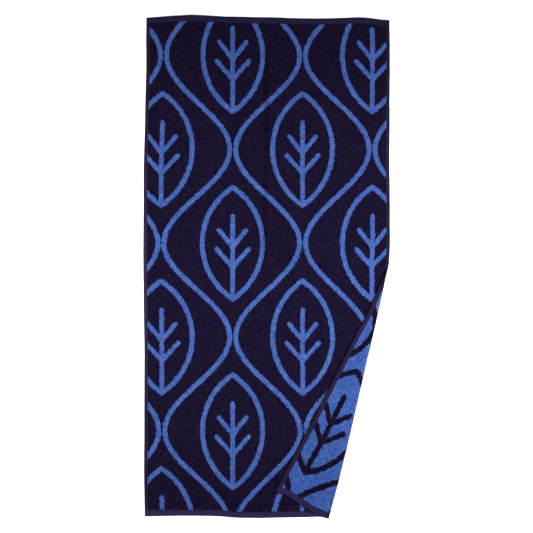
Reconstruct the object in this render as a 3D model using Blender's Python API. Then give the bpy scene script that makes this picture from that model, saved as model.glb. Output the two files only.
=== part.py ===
"""A terry hand towel, lying flat with its lower right corner folded over onto the front.

The cloth is one sheet. It is drawn flat, as it is cut and hemmed, then cut up along the lines where its
surface bends, and each point is carried to where it lies. X runs across the towel, Y up its length, and
the floor is at Z = 0, under the middle of its outline. Everything is in metres.
"""

import math
from collections import namedtuple

import bmesh
import bpy
from mathutils import Vector

# The hemmed cloth, laid out flat
TOWEL_WIDTH = 0.490
TOWEL_LENGTH = 1.000
PILE_THICKNESS = 0.0030  # loops on both faces
HEM_THICKNESS = 0.0020  # woven flat and turned under
SIDE_HEM_FRONT = 0.0069
SIDE_HEM_REVERSE = 0.0084
END_HEM = 0.0118
HEM_STEP = 0.0015  # across the slope from the hem up to the pile

# The fold, a straight roll that crosses the lower right corner
FOLD_ANGLE = math.radians(13.3)  # between the roll and the towel's side
FOLD_RISE = 0.5075  # from the bottom edge up to where the roll's outline meets the side
ROLL_RADIUS = 0.0030  # to the middle of the cloth
SETTLE_RADIUS = 0.045  # of the long bend that brings the flap down onto the front
LAYER_GAP = 0.0004  # between the flap and the cloth under it
START_PRESS = 0.5  # how much flatter the fold lies where it starts, at its upper end
START_PRESS_REACH = 0.110  # along the fold

# The sharp line that folding the towel in four for storage left along it
CREASE_MIDDLE = -0.0020  # across the cloth, from its own middle
CREASE_DEPTH = 0.0010
CREASE_HALF_WIDTH = 0.005
CREASE_TOP = 0.410  # it fades out here
CREASE_BOTTOM = 0.020
CREASE_FADE = 0.040

# How finely the sheet is cut up
CELL = 0.026
ROLL_STEPS = 8
SETTLE_STEPS = 3
SNAP = 0.0008  # a cut that passes this near a corner goes through it

# An edge, or the fold, leaves its straight line outwards by push, most at centre and not at all past reach
Bow = namedtuple("Bow", "centre reach push")
TOP_BOWS = (
    Bow(centre=-0.245, reach=0.040, push=-0.0010),
    Bow(centre=-0.151, reach=0.110, push=0.0038),
    Bow(centre=-0.151, reach=0.030, push=0.0006),
    Bow(centre=-0.055, reach=0.040, push=0.0009),
    Bow(centre=0.045, reach=0.050, push=-0.0005),
    Bow(centre=0.100, reach=0.100, push=-0.0025),
    Bow(centre=0.245, reach=0.060, push=-0.0061),
)
BOTTOM_BOWS = (
    Bow(centre=-0.160, reach=0.060, push=-0.0004),
    Bow(centre=-0.060, reach=0.040, push=0.0008),
    Bow(centre=-0.020, reach=0.110, push=0.0038),
    Bow(centre=0.080, reach=0.070, push=0.0022),
    Bow(centre=0.130, reach=0.026, push=0.0056),
    Bow(centre=0.154, reach=0.030, push=0.0064),
    Bow(centre=0.185, reach=0.050, push=0.0066),
    Bow(centre=0.245, reach=0.040, push=0.0044),
)
LEFT_BOWS = (
    Bow(centre=0.500, reach=0.060, push=-0.0016),
    Bow(centre=0.414, reach=0.100, push=-0.0015),
    Bow(centre=0.190, reach=0.110, push=0.0014),
    Bow(centre=0.100, reach=0.050, push=0.0003),
    Bow(centre=0.030, reach=0.110, push=0.0008),
    Bow(centre=0.020, reach=0.400, push=0.0037),
    Bow(centre=-0.260, reach=0.110, push=0.0015),
    Bow(centre=-0.400, reach=0.170, push=0.0030),
)
RIGHT_BOWS = (
    Bow(centre=0.500, reach=0.050, push=-0.0010),
    Bow(centre=0.330, reach=0.070, push=-0.0006),
    Bow(centre=0.214, reach=0.100, push=-0.0010),
    Bow(centre=0.290, reach=0.280, push=0.0002),
    Bow(centre=0.055, reach=0.045, push=0.0005),
    Bow(centre=0.010, reach=0.050, push=-0.0005),
    Bow(centre=0.005, reach=0.025, push=-0.0009),
    Bow(centre=-0.095, reach=0.075, push=-0.0036),
    Bow(centre=-0.210, reach=0.130, push=-0.0019),
    Bow(centre=-0.330, reach=0.090, push=-0.0011),
    Bow(centre=-0.500, reach=0.130, push=0.0012),
)
FOLD_BOWS = (  # here centre counts from the roll's upper end
    Bow(centre=0.030, reach=0.045, push=-0.0006),
    Bow(centre=0.140, reach=0.080, push=0.0006),
    Bow(centre=0.300, reach=0.260, push=0.0014),
    Bow(centre=0.400, reach=0.160, push=0.0008),
    Bow(centre=0.510, reach=0.060, push=-0.0011),
)
CREASE_BOWS = (  # here a push less than 0 is to the left
    Bow(centre=0.000, reach=0.360, push=-0.0040),
)
BOW_FADE = 0.180  # how far into the cloth a bow is felt

# Places where the cloth stands off the floor
Swell = namedtuple("Swell", "x y reach_x reach_y height")
SWELLS = (
    Swell(x=-0.250, y=-0.090, reach_x=0.050, reach_y=0.110, height=0.0030),
    Swell(x=-0.250, y=-0.505, reach_x=0.060, reach_y=0.060, height=0.0032),
    Swell(x=0.020, y=-0.510, reach_x=0.090, reach_y=0.055, height=0.0022),
    Swell(x=-0.152, y=0.510, reach_x=0.080, reach_y=0.060, height=0.0026),
    Swell(x=0.250, y=0.505, reach_x=0.060, reach_y=0.070, height=0.0034),
    Swell(x=0.255, y=0.150, reach_x=0.055, reach_y=0.100, height=0.0020),
    Swell(x=-0.255, y=0.270, reach_x=0.050, reach_y=0.080, height=0.0018),
    Swell(x=-0.040, y=0.200, reach_x=0.070, reach_y=0.090, height=0.0012),
)

# What follows from these sizes
HALF_WIDTH = TOWEL_WIDTH / 2
HALF_LENGTH = TOWEL_LENGTH / 2
ALONG_FOLD = Vector((-math.sin(FOLD_ANGLE), -math.cos(FOLD_ANGLE)))
ACROSS_FOLD = Vector((math.cos(FOLD_ANGLE), -math.sin(FOLD_ANGLE)))
ROLL_REACH = ROLL_RADIUS + PILE_THICKNESS / 2
FOLD_START = Vector((HALF_WIDTH, FOLD_RISE - HALF_LENGTH)) - ROLL_REACH * ACROSS_FOLD
FLAP_HEIGHT = PILE_THICKNESS + LAYER_GAP
OVERTURN = math.acos((FLAP_HEIGHT + SETTLE_RADIUS - ROLL_RADIUS) / (ROLL_RADIUS + SETTLE_RADIUS))
ROLL_LENGTH = ROLL_RADIUS * (math.pi + OVERTURN)
SETTLE_LENGTH = SETTLE_RADIUS * OVERTURN


def rounded(distance, reach):
    """1 at no distance, falling smoothly to 0 at reach."""
    share = min(1.0, abs(distance) / reach)
    return 0.5 * (1 + math.cos(math.pi * share))


def bowed(bows, place):
    return sum(bow.push * rounded(place - bow.centre, bow.reach) for bow in bows)


def lying_flat(u, v):
    """Where a point of the cut cloth comes on the floor, with the edges as uneven as they lie."""
    x = u + bowed(RIGHT_BOWS, v) * rounded(HALF_WIDTH - u, BOW_FADE)
    x -= bowed(LEFT_BOWS, v) * rounded(HALF_WIDTH + u, BOW_FADE)
    y = v + bowed(TOP_BOWS, u) * rounded(HALF_LENGTH - v, BOW_FADE)
    y -= bowed(BOTTOM_BOWS, u) * rounded(HALF_LENGTH + v, BOW_FADE)
    return Vector((x, y))


def fold_section(run):
    """The fold's cross-section: how far across, how high and at what slope the cloth is after run metres."""
    if run <= 0:
        return run, 0.0, 0.0
    turn = min(run / ROLL_RADIUS, math.pi + OVERTURN)
    across = ROLL_RADIUS * math.sin(turn)
    height = ROLL_RADIUS * (1 - math.cos(turn))
    if run <= ROLL_LENGTH:
        return across, height, turn
    slope = turn - min((run - ROLL_LENGTH) / SETTLE_RADIUS, OVERTURN)
    across += SETTLE_RADIUS * (math.sin(turn) - math.sin(slope))
    height += SETTLE_RADIUS * (math.cos(slope) - math.cos(turn))
    across -= max(0.0, run - ROLL_LENGTH - SETTLE_LENGTH)
    return across, height, slope


def lift(place):
    """How far the floor side of the cloth stands off the floor."""
    return sum(
        swell.height * rounded(place.x - swell.x, swell.reach_x) * rounded(place.y - swell.y, swell.reach_y)
        for swell in SWELLS
    )


def half_thickness(u, v, side_hem):
    """From the middle of the cloth to one face, less in the hems than in the pile."""
    from_side = HALF_WIDTH - abs(u) - side_hem
    from_end = HALF_LENGTH - abs(v) - END_HEM
    into_pile = max(0.0, min(1.0, min(from_side, from_end) / HEM_STEP))
    return (HEM_THICKNESS + (PILE_THICKNESS - HEM_THICKNESS) * into_pile) / 2


def pressed(u, v):
    """How deep the crease lies in the front."""
    from_crease = u - CREASE_MIDDLE - bowed(CREASE_BOWS, v)
    past_end = max(0.0, v - CREASE_TOP, CREASE_BOTTOM - v)
    return CREASE_DEPTH * rounded(from_crease, CREASE_HALF_WIDTH) * rounded(past_end, CREASE_FADE)


def faces_of_cloth(u, v):
    """Where the front and the reverse of the cloth are at one point of the cut cloth."""
    from_start = lying_flat(u, v) - FOLD_START
    along = from_start.dot(ALONG_FOLD)
    across, height, slope = fold_section(from_start.dot(ACROSS_FOLD))
    across += bowed(FOLD_BOWS, along) * rounded(across, BOW_FADE)
    height *= 1 - START_PRESS * rounded(along, START_PRESS_REACH)
    place = FOLD_START + along * ALONG_FOLD + across * ACROSS_FOLD
    middle = Vector((place.x, place.y, lift(place) + PILE_THICKNESS / 2 + height))
    sideways = -math.sin(slope) * ACROSS_FOLD
    outwards = Vector((sideways.x, sideways.y, math.cos(slope)))
    front = middle + (half_thickness(u, v, SIDE_HEM_FRONT) - pressed(u, v)) * outwards
    reverse = middle - half_thickness(u, v, SIDE_HEM_REVERSE) * outwards
    return front, reverse


def spaced(low, high, step):
    """Evenly spaced places between low and high, no more than step apart, without the two ends."""
    count = math.ceil((high - low) / step)
    return [low + (high - low) * i / count for i in range(1, count)]


def bend_lines():
    """Each line, as a point and a normal, along which the flat sheet is cut up into faces."""
    crease = [CREASE_MIDDLE + CREASE_HALF_WIDTH * i / 2 for i in range(-3, 3)]
    hem_widths = (SIDE_HEM_FRONT, SIDE_HEM_REVERSE)
    hem_u = [HALF_WIDTH - hem - step for hem in hem_widths for step in (0.0, HEM_STEP)]
    hem_v = [HALF_LENGTH - END_HEM - step for step in (0.0, HEM_STEP)]
    across = spaced(-hem_u[-1], hem_u[-1], CELL) + crease + hem_u + [-u for u in hem_u]
    along = spaced(-hem_v[-1], hem_v[-1], CELL) + hem_v + [-v for v in hem_v]
    runs = [ROLL_LENGTH * i / ROLL_STEPS for i in range(ROLL_STEPS + 1)]
    runs += [ROLL_LENGTH + SETTLE_LENGTH * i / SETTLE_STEPS for i in range(1, SETTLE_STEPS + 1)]
    lines = [(Vector((u, 0, 0)), Vector((1, 0, 0))) for u in across]
    lines += [(Vector((0, v, 0)), Vector((0, 1, 0))) for v in along]
    for run in runs:
        lines.append(((FOLD_START + run * ACROSS_FOLD).to_3d(), ACROSS_FOLD.to_3d()))
    return lines


def cut_cloth():
    """The flat sheet as one layer of faces, cut along every bend line."""
    sheet = bmesh.new()
    corners = [(-1, -1), (1, -1), (1, 1), (-1, 1)]
    sheet.faces.new([sheet.verts.new((HALF_WIDTH * i, HALF_LENGTH * j, 0)) for i, j in corners])
    for point, normal in bend_lines():
        everything = sheet.verts[:] + sheet.edges[:] + sheet.faces[:]
        bmesh.ops.bisect_plane(sheet, geom=everything, plane_co=point, plane_no=normal, dist=SNAP)
    return sheet


def folded_solid(sheet):
    """The closed solid between the front and the reverse of the laid and folded sheet."""
    solid = bmesh.new()
    pairs = {}
    for vert in sheet.verts:
        front, reverse = faces_of_cloth(vert.co.x, vert.co.y)
        pairs[vert] = (solid.verts.new(front), solid.verts.new(reverse))
    for face in sheet.faces:
        solid.faces.new([pairs[vert][0] for vert in face.verts])
        solid.faces.new([pairs[vert][1] for vert in reversed(face.verts)])
    for edge in sheet.edges:
        if edge.is_boundary:
            start, end = edge.verts
            solid.faces.new((pairs[start][0], pairs[end][0], pairs[end][1], pairs[start][1]))
    bmesh.ops.triangulate(solid, faces=solid.faces)
    bmesh.ops.recalc_face_normals(solid, faces=solid.faces)
    return solid


def set_on_floor(solid):
    """Puts the middle of the solid's outline over the origin and its lowest face on the floor."""
    low = [min(vert.co[axis] for vert in solid.verts) for axis in range(3)]
    high = [max(vert.co[axis] for vert in solid.verts) for axis in range(3)]
    middle = Vector(((low[0] + high[0]) / 2, (low[1] + high[1]) / 2, low[2]))
    bmesh.ops.translate(solid, verts=solid.verts, vec=-middle)


def terry_material():
    material = bpy.data.materials.new("navy_terry")
    material.use_nodes = True
    shader = material.node_tree.nodes["Principled BSDF"]
    shader.inputs["Base Color"].default_value = (0.012, 0.007, 0.028, 1)
    shader.inputs["Roughness"].default_value = 0.95
    shader.inputs["Metallic"].default_value = 0.0
    return material


def make_towel():
    sheet = cut_cloth()
    solid = folded_solid(sheet)
    set_on_floor(solid)
    mesh = bpy.data.meshes.new("towel")
    solid.to_mesh(mesh)
    sheet.free()
    solid.free()
    mesh.materials.append(terry_material())
    mesh.shade_smooth()
    mesh.set_sharp_from_angle(angle=math.radians(40))
    towel = bpy.data.objects.new("towel", mesh)
    bpy.context.scene.collection.objects.link(towel)
    return towel


def main():
    for leftover in list(bpy.data.objects):
        bpy.data.objects.remove(leftover)
    make_towel()


main()
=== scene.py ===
"""The looks of a jacquard terry hand towel that lies flat with its lower right corner folded over.

The cloth is drawn flat, hemmed, and each point of it is carried to where it lies, as its solid's points are.
So every piece is placed on it by two numbers: u across the cut cloth and v up its length, both in metres
from its middle. X runs across the towel, Y up its length, and the floor is at Z = 0.
"""

import math
from collections import namedtuple

import bmesh
import bpy
import numpy as np
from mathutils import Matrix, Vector


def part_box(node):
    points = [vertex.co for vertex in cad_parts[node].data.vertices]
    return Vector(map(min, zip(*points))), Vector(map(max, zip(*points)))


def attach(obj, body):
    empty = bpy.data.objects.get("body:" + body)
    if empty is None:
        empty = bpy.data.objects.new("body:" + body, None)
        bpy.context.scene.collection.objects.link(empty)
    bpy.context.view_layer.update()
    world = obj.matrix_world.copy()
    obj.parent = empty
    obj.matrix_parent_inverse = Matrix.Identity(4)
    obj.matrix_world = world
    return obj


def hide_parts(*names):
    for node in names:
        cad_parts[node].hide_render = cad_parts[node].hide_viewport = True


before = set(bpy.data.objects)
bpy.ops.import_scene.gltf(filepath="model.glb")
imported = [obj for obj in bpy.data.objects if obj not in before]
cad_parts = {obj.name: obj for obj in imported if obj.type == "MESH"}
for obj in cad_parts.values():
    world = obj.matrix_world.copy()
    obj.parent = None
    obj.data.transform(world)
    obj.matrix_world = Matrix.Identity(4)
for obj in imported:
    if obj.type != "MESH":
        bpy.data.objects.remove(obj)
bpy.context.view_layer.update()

# The hemmed cloth, laid out flat
TOWEL_WIDTH = 0.490
TOWEL_LENGTH = 1.000
PILE_THICKNESS = 0.0030
HEM_THICKNESS = 0.0020
GROUND_THICKNESS = 0.0011  # the woven cloth that the loops stand on
SIDE_HEM_FRONT = 0.0069
SIDE_HEM_REVERSE = 0.0084
END_HEM = 0.0118
HEM_STEP = 0.0015  # from the hem down to the woven ground, under the first loops
END_BARE = 0.0124  # from the end's edge to the first loops
HALF_WIDTH = TOWEL_WIDTH / 2
HALF_LENGTH = TOWEL_LENGTH / 2

# The fold, a straight roll that crosses the lower right corner
FOLD_ANGLE = math.radians(13.3)  # between the roll and the towel's side
FOLD_RISE = 0.5075  # from the bottom edge up to where the roll's outline meets the side
ROLL_RADIUS = 0.0030
SETTLE_RADIUS = 0.045  # of the long bend that brings the flap down onto the front
LAYER_GAP = 0.0004
START_PRESS = 0.5  # how much flatter the fold lies where it starts, at its upper end
START_PRESS_REACH = 0.110  # along the fold
ALONG_FOLD = np.array((-math.sin(FOLD_ANGLE), -math.cos(FOLD_ANGLE)))
ACROSS_FOLD = np.array((math.cos(FOLD_ANGLE), -math.sin(FOLD_ANGLE)))
ROLL_REACH = ROLL_RADIUS + PILE_THICKNESS / 2
FOLD_START = np.array((HALF_WIDTH, FOLD_RISE - HALF_LENGTH)) - ROLL_REACH * ACROSS_FOLD
FLAP_HEIGHT = PILE_THICKNESS + LAYER_GAP
OVERTURN = math.acos((FLAP_HEIGHT + SETTLE_RADIUS - ROLL_RADIUS) / (ROLL_RADIUS + SETTLE_RADIUS))
ROLL_LENGTH = ROLL_RADIUS * (math.pi + OVERTURN)
SETTLE_LENGTH = SETTLE_RADIUS * OVERTURN

# The sharp line that folding the towel in four for storage left along it
CREASE_MIDDLE = -0.0020  # across the cloth, from its own middle
CREASE_DEPTH = 0.0010
CREASE_HALF_WIDTH = 0.005
CREASE_TOP = 0.410  # it fades out here
CREASE_BOTTOM = 0.020
CREASE_FADE = 0.040
CREASE_CUTS = range(-3, 3)  # halves of its half width, with more of them to the left, where it bows
PARTING_REACH = 0.0082  # of the line along which loops lie pressed
PARTING_PRESS = 0.35  # of a loop's height
# painted shade: how much darker the crease's line is painted, where its pressed loops lie in shade
CREASE_PAINTED_SHADE = 0.30  # how much darker they look

# An edge, or the fold, leaves its straight line outwards by push, most at centre and not at all past reach
Bow = namedtuple("Bow", "centre reach push")
TOP_BOWS = (
    Bow(centre=-0.245, reach=0.040, push=-0.0010),
    Bow(centre=-0.151, reach=0.110, push=0.0038),
    Bow(centre=-0.151, reach=0.030, push=0.0006),
    Bow(centre=-0.055, reach=0.040, push=0.0009),
    Bow(centre=0.045, reach=0.050, push=-0.0005),
    Bow(centre=0.100, reach=0.100, push=-0.0025),
    Bow(centre=0.245, reach=0.060, push=-0.0061),
)
BOTTOM_BOWS = (
    Bow(centre=-0.160, reach=0.060, push=-0.0004),
    Bow(centre=-0.060, reach=0.040, push=0.0008),
    Bow(centre=-0.020, reach=0.110, push=0.0038),
    Bow(centre=0.080, reach=0.070, push=0.0022),
    Bow(centre=0.130, reach=0.026, push=0.0056),
    Bow(centre=0.154, reach=0.030, push=0.0064),
    Bow(centre=0.185, reach=0.050, push=0.0066),
    Bow(centre=0.245, reach=0.040, push=0.0044),
)
LEFT_BOWS = (
    Bow(centre=0.500, reach=0.060, push=-0.0016),
    Bow(centre=0.414, reach=0.100, push=-0.0015),
    Bow(centre=0.190, reach=0.110, push=0.0014),
    Bow(centre=0.100, reach=0.050, push=0.0003),
    Bow(centre=0.030, reach=0.110, push=0.0008),
    Bow(centre=0.020, reach=0.400, push=0.0037),
    Bow(centre=-0.260, reach=0.110, push=0.0015),
    Bow(centre=-0.400, reach=0.170, push=0.0030),
)
RIGHT_BOWS = (
    Bow(centre=0.500, reach=0.050, push=-0.0010),
    Bow(centre=0.330, reach=0.070, push=-0.0006),
    Bow(centre=0.214, reach=0.100, push=-0.0010),
    Bow(centre=0.290, reach=0.280, push=0.0002),
    Bow(centre=0.055, reach=0.045, push=0.0005),
    Bow(centre=0.010, reach=0.050, push=-0.0005),
    Bow(centre=0.005, reach=0.025, push=-0.0009),
    Bow(centre=-0.095, reach=0.075, push=-0.0036),
    Bow(centre=-0.210, reach=0.130, push=-0.0019),
    Bow(centre=-0.330, reach=0.090, push=-0.0011),
    Bow(centre=-0.500, reach=0.130, push=0.0012),
)
FOLD_BOWS = (  # here centre counts from the roll's upper end
    Bow(centre=0.030, reach=0.045, push=-0.0006),
    Bow(centre=0.140, reach=0.080, push=0.0006),
    Bow(centre=0.300, reach=0.260, push=0.0014),
    Bow(centre=0.400, reach=0.160, push=0.0008),
    Bow(centre=0.510, reach=0.060, push=-0.0011),
)
CREASE_BOWS = (  # here a push less than 0 is to the left
    Bow(centre=0.000, reach=0.360, push=-0.0040),
)
BOW_FADE = 0.180

# Places where the cloth stands off the floor: edges and corners first, then soft rises in its middle
Swell = namedtuple("Swell", "x y reach_x reach_y height")
SWELLS = (
    Swell(x=-0.250, y=-0.090, reach_x=0.050, reach_y=0.110, height=0.0030),
    Swell(x=-0.250, y=-0.505, reach_x=0.060, reach_y=0.060, height=0.0032),
    Swell(x=0.020, y=-0.510, reach_x=0.090, reach_y=0.055, height=0.0022),
    Swell(x=-0.152, y=0.510, reach_x=0.080, reach_y=0.060, height=0.0026),
    Swell(x=0.250, y=0.505, reach_x=0.060, reach_y=0.070, height=0.0034),
    Swell(x=0.255, y=0.150, reach_x=0.055, reach_y=0.100, height=0.0020),
    Swell(x=-0.255, y=0.270, reach_x=0.050, reach_y=0.080, height=0.0018),
    Swell(x=-0.040, y=0.200, reach_x=0.070, reach_y=0.090, height=0.0012),
)

# The hems' sewing, and how their edges are rounded
RIM_RADIUS = 0.0010
SIDE_STITCH_LINE = 0.0045  # from the side's edge
END_STITCH_LINE = 0.0098  # from the end's edge
STITCH_PITCH = 0.0033
STITCH_LENGTH = 0.0027
STITCH_WIDTH = 0.0006
GROOVE_REACH = 0.0010
GROOVE_DEPTH = 0.00030
PUCKER_HEIGHT = 0.0007
PUCKER_LENGTH = 0.031
PUCKER_REACH = 0.022  # how far into the cloth the pull of the sewing shows
STITCH_STANDS = 0.15  # of its width, from the groove's bottom to a stitch's middle
BEAD_SEGMENTS = 6
BEAD_RINGS = 4

# How the puckers come early or late along a hem: by swing radians at most, at rate radians to a metre
Waver = namedtuple("Waver", "swing rate")
SIDE_WAVER = Waver(swing=3, rate=9)
END_WAVER = Waver(swing=4, rate=11)

# The loops of the pile, in columns up the towel, each column half a pitch off the next
LOOP_PITCH_U = 0.0018
LOOP_PITCH_V = 0.0022
LOOP_WIDTH = 0.0021
LOOP_LENGTH = 0.0029
LOOP_RIDGE = 0.0013  # the length of a loop's crown
LOOP_ROOT = 0.0003  # how far out of the middle of the cloth a loop is rooted
LOOP_HEIGHT = PILE_THICKNESS / 2 - LOOP_ROOT
LOOP_STRAY = 0.22  # of a pitch
LOOP_TURN = 0.7  # at most, to either side, in radians
LOOP_LEAN = 0.3
LOOP_SIZES = (0.85, 1.15)  # the least and the most of a loop's width and length
LOOP_HEIGHTS = (0.80, 1.0)
LOOP_MAP_SHARE = 0.8  # of a loop's own square on its baked map
STRAY_SEED = 11
NEARBY = 0.0005  # between two places that show which way the cloth faces
FRONT_STRIPS = 4
LOOPED_REVERSE = -0.014  # across the fold, the reverse has loops only from here on
LOOPED_FADE = 0.004  # and the sheet thins to its ground over this much

# How finely the woven ground is cut up and measured
CELL = 0.008
RIM_SHARES = (0.04, 0.16, 0.4, 0.7, 1.0)  # of the rim's radius
ROLL_STEPS = 16
SETTLE_STEPS = 6
SNAP = 0.0003
SEAM_STEP = 0.0008
MEASURED_COLUMNS = 246
MEASURED_ROWS = 501
BAKE_MARGIN = 0.005

# The woven design: wavy lines that meet in pairs, with a veined leaf in each space between them
LINE_SPACING = 0.140
WAVE_LENGTH = 0.376
WAVE_SWING = 0.064
DESIGN_RISE = 0.047
LINE_HALF_WIDTH = 0.0048
LEAF_HALF_WIDTH = 0.060
LEAF_HALF_LENGTH = 0.112
LEAF_LINE_HALF_WIDTH = 0.0048
LINE_SLACK = 0.0014  # how far loops lean over a line's edge
LINE_WANDER = 0.0040  # how unevenly the edge is woven
REVERSE_WIDER = 0.0009  # how much wider a line spreads to each side on the reverse

# The middles of the leaves in one repeat, in halves of a line's spacing across and of a wave up
LeafPlace = namedtuple("LeafPlace", "half_spacings half_waves")
LEAF_PLACES = (
    LeafPlace(half_spacings=1, half_waves=1),
    LeafPlace(half_spacings=-1, half_waves=0),
)

# The straight rib and veins of a leaf's right half, from x, y to end_x, end_y
Vein = namedtuple("Vein", "x y end_x end_y half_width")
VEINS = (
    Vein(x=0.000, y=-0.112, end_x=0.000, end_y=0.054, half_width=0.0046),
    Vein(x=0.000, y=-0.048, end_x=0.032, end_y=-0.012, half_width=0.0044),
    Vein(x=0.000, y=-0.008, end_x=0.027, end_y=0.026, half_width=0.0044),
)

# How worn the loops are, from 0 to 1, on each face; and how much paler the painted light along the fold makes
# them
FRONT_WEAR = 0.50
REVERSE_WEAR = 0.20
# painted light along the fold: paler and lighter there, where the roll faces the lamps
FOLD_PAINTED_PALENESS = 0.20
FOLD_PAINTED_LIGHT = 0.20  # and how much lighter they look there
CLUMP_WEAR = 0.80  # how strongly wear differs from clump to clump
LOOP_WEAR = 2.00  # and from loop to loop
REVERSE_SHADE = 0.93

# Where light is painted along the fold, whose roll faces the lamps and opens up the loops: across it, counted
# from where its roll begins, and up the cloth
FOLD_LIT_FROM = 0.006
FOLD_LIT_TO = 0.008
FOLD_LIT_REACH = 0.026
FOLD_LIT_MOST_V = -0.20
FOLD_LIT_LEAST_V = -0.34
FOLD_LIT_LEAST = 0.6  # what is left of it at the fold's lower end

# How much the lie of the loops changes their shade, in broad patches and in small ones
BROAD_NAP = 0.15
SMALL_NAP = 0.40

# How fine each kind of unevenness is, in waves to a metre
BROAD_NAP_RATE = 9
SMALL_NAP_RATE = 60
CLUMP_RATE = 70
WANDER_RATE = 150
ALONG_WEAVE_RATE = 420
ACROSS_WEAVE_RATE = 2600
YARN_RATE = 1500
TWIST_RATE = 1800
FLOOR_RATE = 3
OTHER_YARNS = 4  # takes the crossing yarns' noise from elsewhere

# Shades, each from the darker end of its range to the lighter
LOOP_SHADES = (0.80, 1.20)  # from loop to loop
# painted shade: a loop darker at its root, down among the others, than at its tip
TIP_PAINTED_SHADES = (0.65, 1.10)  # from a loop's root to its tip
# painted shade in the crease, where a loop pressed lower is painted darker
PRESSED_PAINTED_SHADES = (0.2, 1)  # from a loop pressed flat to one at its full height
DRAWN_LOOP_SHADES = (0.85, 1.15)  # from loop to loop where the sheet only draws them
# painted shade between the loops that the sheet only draws, lighter at their crowns
DRAWN_CROWN_PAINTED_SHADES = (0.6, 1)
WEAVE_SHADES = (0.55, 1.25)
# painted shade on the hem's rounded rim, darkest at its edge
RIM_PAINTED_SHADES = (0.45, 1)
THREAD_SHADES = (0.6, 1.4)
FLOOR_SHADES = (0.98, 1.02)

# The fine relief that only the light shows
Relief = namedtuple("Relief", "strength depth")
YARN_RELIEF = Relief(strength=0.5, depth=0.0003)
GROUND_RELIEF = Relief(strength=0.7, depth=0.0005)
THREAD_RELIEF = Relief(strength=0.4, depth=0.0001)
CROWN_FALL = 0.6  # how far a drawn loop falls off at its two ends
WEAVE_RELIEF = 0.5  # of a drawn loop's

# How dull each thing is
COTTON_ROUGHNESS = 0.95
COTTON_SPECULAR = 0.02
THREAD_ROUGHNESS = 0.6
FLOOR_ROUGHNESS = 0.9

# How the hems' painted light and shade vary: the sides lighter near the towel's middle, the bottom hem
# lighter than the top, and painted shade where the fold starts, which turns them out of the light
SIDE_HEM_DARKEST = 0.70
SIDE_HEM_PALEST = 1.25
PALEST_V = -0.03
PALEST_REACH = 0.45
TOP_HEM_SHADE = 0.75
BOTTOM_HEM_SHADE = 1.14
REVERSE_HEM_SHADE = 0.82
TUCKED_SHADE = 0.48  # on the flap's hem, along the first of the fold
TUCKED_REACH = 0.052
TUCKED_FADE = 0.010
TURNED_SHADE = 0.62  # on the front's hem, just above the fold
TURNED_REACH = 0.200
TURNED_FULLY = 0.060
# painted shade on the rim, over this much from the edge
RIM_SHADE_REACH = 0.0022
HEM_FADE = 0.0008  # between a hem's colours and the pile's
CORNER_FADE = 0.001  # between a side hem's colour and an end's
ENDS_APART = 0.1  # above and below the middle, an end hem's shade is the top's or the bottom's

# The photograph's frame and how far away its camera stands
FRAME_PIXELS = 533
MM_PER_PIXEL = 2.004
OUTLINE_MIDDLE_PX = (266.66, 266.80)
LENS_MM = 85
SENSOR_MM = 36

# The lamps, one on each side of the towel's middle, which leave its ends dimmer
Lamp = namedtuple("Lamp", "name x width watts")
LAMPS = (
    Lamp(name="key", x=0.85, width=0.35, watts=11.2),
    Lamp(name="fill", x=-0.85, width=0.45, watts=9.0),
)
LAMP_Y = -0.06
LAMP_HEIGHT = 0.78
LAMP_LENGTH = 0.7
BEAM_ANGLE = math.radians(130)
WORLD_GLOW = 0.065

# Colours, as linear red, green and blue
NAVY = (0.0026, 0.0010, 0.0122)
NAVY_WORN = (0.0122, 0.0082, 0.0252)
BLUE = (0.0190, 0.0545, 0.2610)
BLUE_WORN = (0.0770, 0.1400, 0.3520)
SIDE_HEM_NAVY = (0.0185, 0.0120, 0.0362)
END_HEM_NAVY = (0.0184, 0.0130, 0.0460)
THREAD_NAVY = (0.0240, 0.0160, 0.0540)
FLOOR_WHITE = (0.90, 0.90, 0.90)
FLOOR_GLOW = 0.60  # as a picture cut out on white has it
FLOOR_RADIUS = 12.0
FLOOR_SIDES = 96


# Where the cloth lies


def rounded(distance, reach):
    """1 at no distance, falling smoothly to 0 at reach."""
    return 0.5 * (1 + np.cos(np.pi * np.clip(np.abs(distance) / reach, 0, 1)))


def bowed(bows, place):
    return sum(bow.push * rounded(place - bow.centre, bow.reach) for bow in bows)


def lying_flat(u, v):
    """Where points of the cut cloth come on the floor, with the edges as uneven as they lie."""
    x = u + bowed(RIGHT_BOWS, v) * rounded(HALF_WIDTH - u, BOW_FADE)
    x = x - bowed(LEFT_BOWS, v) * rounded(HALF_WIDTH + u, BOW_FADE)
    y = v + bowed(TOP_BOWS, u) * rounded(HALF_LENGTH - v, BOW_FADE)
    y = y - bowed(BOTTOM_BOWS, u) * rounded(HALF_LENGTH + v, BOW_FADE)
    return x, y


def run_past_fold(u, v):
    """How far points of the cut cloth are past the line where the roll begins."""
    x, y = lying_flat(u, v)
    return (x - FOLD_START[0]) * ACROSS_FOLD[0] + (y - FOLD_START[1]) * ACROSS_FOLD[1]


def lift(x, y):
    return sum(s.height * rounded(x - s.x, s.reach_x) * rounded(y - s.y, s.reach_y) for s in SWELLS)


def wavering(place, waver):
    """From 0 to 2 and back in about a pucker's length along a hem."""
    return 1 + np.sin(place * math.tau / PUCKER_LENGTH + waver.swing * np.sin(waver.rate * place))


def puckers(u, v):
    """The small rises that the sewing pulls into the hems."""
    side = rounded(HALF_WIDTH - np.abs(u), PUCKER_REACH) * wavering(v, SIDE_WAVER)
    end = rounded(HALF_LENGTH - np.abs(v), PUCKER_REACH) * wavering(u, END_WAVER)
    return PUCKER_HEIGHT / 2 * np.maximum(side, end)


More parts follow.
